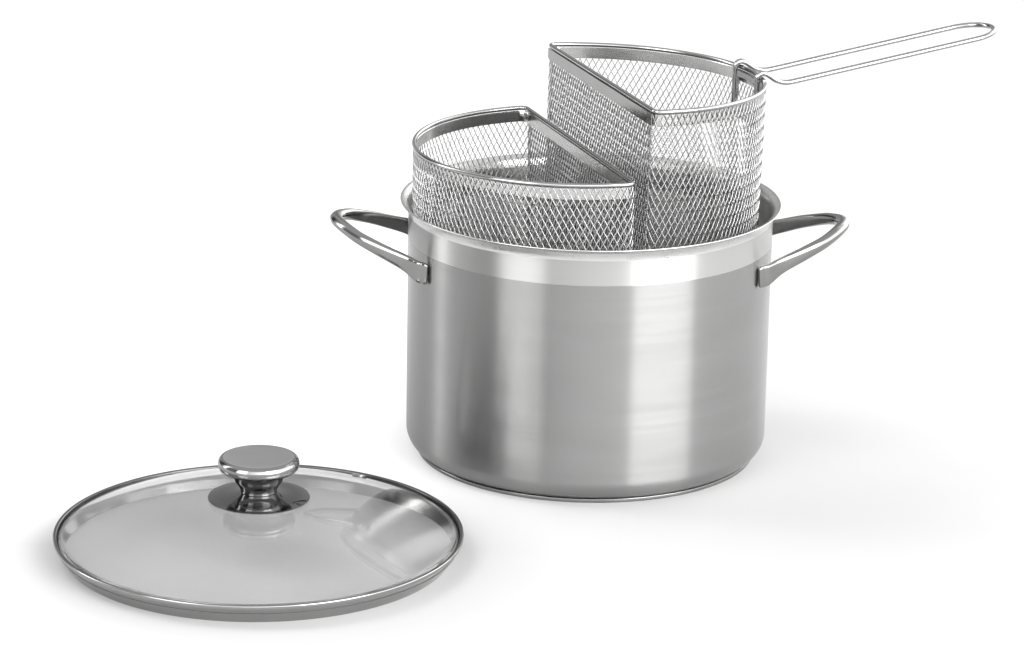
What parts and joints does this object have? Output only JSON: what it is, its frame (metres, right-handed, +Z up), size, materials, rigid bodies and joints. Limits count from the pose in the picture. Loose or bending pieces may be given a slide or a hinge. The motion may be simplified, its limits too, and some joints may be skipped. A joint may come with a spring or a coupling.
{
  "type": "stovetop deep fryer",
  "caption": "Stovetop deep fryer: steel pot with loop side handles, half-round wire baskets that lift out, a hook-on wire basket handle, and a domed glass lid beside it.",
  "frame": {"origin": "on the worktop, at the centre of the underside of the pot's base", "axes": "+Z up; the two side handles lie on the X axis; +X is towards the handle side of the basket that carries the wire handle, and the lid lies at -X -Y"},
  "size_m": [0.605, 0.4574, 0.2745],
  "materials": {
    "pot_steel": "satin outside with a polished band under the lip",
    "base_steel": "satin",
    "aluminium_core": "plain",
    "handle_steel": "polished steel",
    "lid_glass": "clear tempered",
    "lid_rim_steel": "polished steel",
    "vent_steel": "plain",
    "knob_steel": "polished steel",
    "silicone": "matt",
    "fastener_steel": "plain",
    "bead_steel": "polished steel",
    "band_steel": "polished steel",
    "wire_mesh": "drawn wire",
    "ring_steel": "drawn wire",
    "handle_wire_steel": "polished steel"
  },
  "bodies": {
    "pot": {"pot_body": "pot_steel", "base_core": "aluminium_core", "base_cap": "base_steel", "side_handle_left": "handle_steel", "side_handle_right": "handle_steel"},
    "lid": {"lid_glass": "lid_glass", "lid_rim": "lid_rim_steel", "steam_vent": "vent_steel", "knob_gasket_upper": "silicone", "knob_base": "knob_steel", "knob_cap": "knob_steel", "knob_gasket_lower": "silicone", "knob_washer": "fastener_steel", "knob_screw": "fastener_steel"},
    "basket_left": {"basket_left_rim_bead": "bead_steel", "basket_left_rim_band": "band_steel", "basket_left_flat_strip": "band_steel", "basket_left_wall_mesh": "wire_mesh", "basket_left_flat_mesh": "wire_mesh", "basket_left_floor_mesh": "wire_mesh", "basket_left_bottom_ring": "ring_steel"},
    "basket_right": {"basket_right_rim_bead": "bead_steel", "basket_right_rim_band": "band_steel", "basket_right_flat_strip": "band_steel", "basket_right_wall_mesh": "wire_mesh", "basket_right_flat_mesh": "wire_mesh", "basket_right_floor_mesh": "wire_mesh", "basket_right_bottom_ring": "ring_steel"},
    "basket_handle": {"basket_handle_wire": "handle_wire_steel", "basket_handle_crosspiece": "handle_wire_steel"}
  },
  "joints": [
    {"name": "basket_left_slide", "type": "slide", "parent": "pot", "child": "basket_left", "axis": [0, 0, 1], "range_m": [-0.052, 0.125]},
    {"name": "basket_right_slide", "type": "slide", "parent": "pot", "child": "basket_right", "axis": [0, 0, 1], "range_m": [-0.072, 0.085]},
    {"name": "basket_handle_lift_off", "type": "slide", "parent": "basket_right", "child": "basket_handle", "axis": [0.0216, 0.0204, 0.9996], "range_m": [0, 0.045]},
    {"name": "lid_lift_off", "type": "slide", "parent": "pot", "child": "lid", "axis": [0, 0, 1], "range_m": [0, 0.1]}
  ]
}
